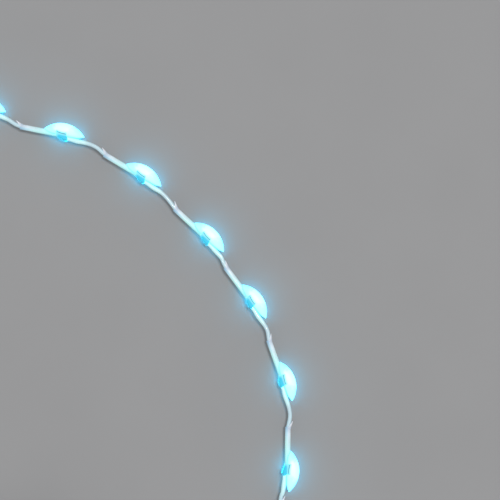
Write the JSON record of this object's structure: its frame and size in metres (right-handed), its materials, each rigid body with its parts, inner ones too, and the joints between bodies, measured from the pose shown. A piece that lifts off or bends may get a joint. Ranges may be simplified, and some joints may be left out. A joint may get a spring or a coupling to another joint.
{
  "type": "bicycle spoke light string",
  "caption": "Ring of lit half-moon pods on a clear wire, each clipping to a wheel spoke, with a lead to a battery pack that has a hinged door, turn latch and push button.",
  "frame": {"origin": "on the wheel's axle line, on the plane of the clips' open backs that the light lies on", "axes": "+Z along the axle from the clips to the lit front, +X through a pod, the feed lead at -45 degrees"},
  "size_m": [0.5215, 0.5209, 0.0222],
  "materials": {
    "lens": "frosted clear, lit",
    "pod_base": "clear cyan, lit",
    "led": "lit",
    "sleeve": "clear tube",
    "wire": "clear over white cores",
    "case": "fine texture",
    "door": "fine texture",
    "gasket": "matt",
    "latch": "satin",
    "button": "matt",
    "steel": "bright",
    "contact": "plated",
    "cell": "wrapped can",
    "board": "solder mask",
    "switch_body": "matt",
    "black_plastic": "matt"
  },
  "bodies": {
    "light": {"case_body": "case", "hinge_pin": "steel", "switch_cover": "case", "pack_screws": "steel", "tact_switch": "switch_body", "control_board": "board", "controller_chip": "black_plastic", "batteries": "cell", "battery_springs": "steel", "contact_plates": "contact", "lead_grommet": "gasket", "feed_lead": "wire", "pod_bases": "pod_base", "pod_boards": "board", "pod_leds": "led", "pod_resistors": "black_plastic", "sleeves": "sleeve", "wire_spans": "wire", "lens_01": "lens", "lens_02": "lens", "lens_03": "lens", "lens_04": "lens", "lens_05": "lens", "lens_06": "lens", "lens_07": "lens", "lens_08": "lens", "lens_09": "lens", "lens_10": "lens", "lens_11": "lens", "lens_12": "lens", "lens_13": "lens", "lens_14": "lens", "lens_15": "lens", "lens_16": "lens", "lens_17": "lens", "lens_18": "lens", "lens_19": "lens", "lens_20": "lens", "lens_21": "lens", "lens_22": "lens", "lens_23": "lens", "lens_24": "lens", "lens_25": "lens", "lens_26": "lens", "lens_27": "lens", "lens_28": "lens", "lens_29": "lens", "lens_30": "lens", "lens_31": "lens", "lens_32": "lens", "lens_33": "lens", "lens_34": "lens", "lens_35": "lens", "lens_36": "lens"},
    "door": {"battery_door": "door", "door_gasket": "gasket"},
    "latch": {"turn_latch": "latch"},
    "button": {"mode_button": "button", "switch_plunger": "black_plastic"}
  },
  "joints": [
    {"name": "door_hinge", "type": "hinge", "parent": "light", "child": "door", "pos_m": [0.02801, -0.02801, 0.0178], "axis": [-0.7071, -0.7071, 0], "range_deg": [0, 110]},
    {"name": "latch_turn", "type": "hinge", "parent": "light", "child": "latch", "pos_m": [0.06758, -0.08313, 0.01915], "axis": [0, 0, -1], "range_deg": [0, 90]},
    {"name": "button_press", "type": "slide", "parent": "light", "child": "button", "axis": [0, 0, -1], "range_m": [0, 0.0008], "stiffness_N_per_m": 2000}
  ]
}
